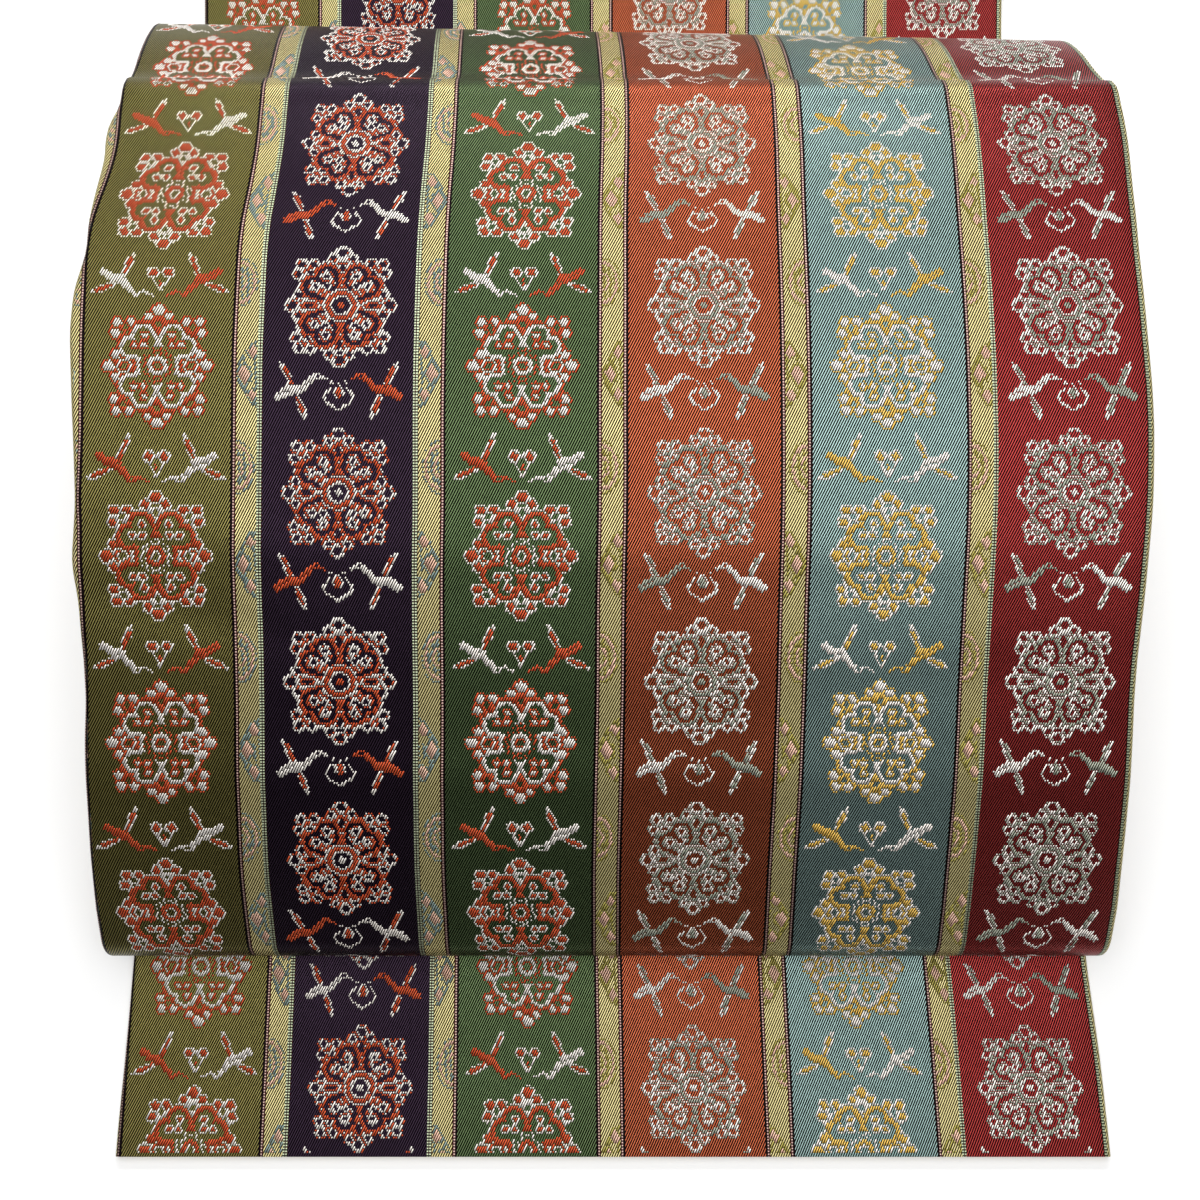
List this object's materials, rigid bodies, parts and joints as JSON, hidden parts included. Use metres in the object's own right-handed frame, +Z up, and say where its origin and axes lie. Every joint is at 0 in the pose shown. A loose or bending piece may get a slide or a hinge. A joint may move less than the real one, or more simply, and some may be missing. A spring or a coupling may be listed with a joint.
{
  "type": "obi sash",
  "caption": "Striped brocade obi sash laid in a drum form: flat tail, hollow drum with a ridge, strap and folded remainder.",
  "frame": {"origin": "centre of the sash's footprint, on the surface that it lies on", "axes": "+Z up, +X across the band to the wearer's right-hand side of the stripes, -Y towards the tail's free end, +Y towards the folded remainder"},
  "size_m": [0.3158, 0.866, 0.0851],
  "materials": {
    "woven_band": "striped twill brocade, patterned side out, with raised weft motifs and a soft sheen",
    "folded_band": "plain golden reverse of the same twill, with the woven edge showing at the sides"
  },
  "bodies": {
    "root": {"tail_stretch": "woven_band", "return_stretch": "woven_band", "drum_stretch": "woven_band", "strap_stretch": "woven_band", "folded_remainder": "folded_band"}
  },
  "joints": []
}
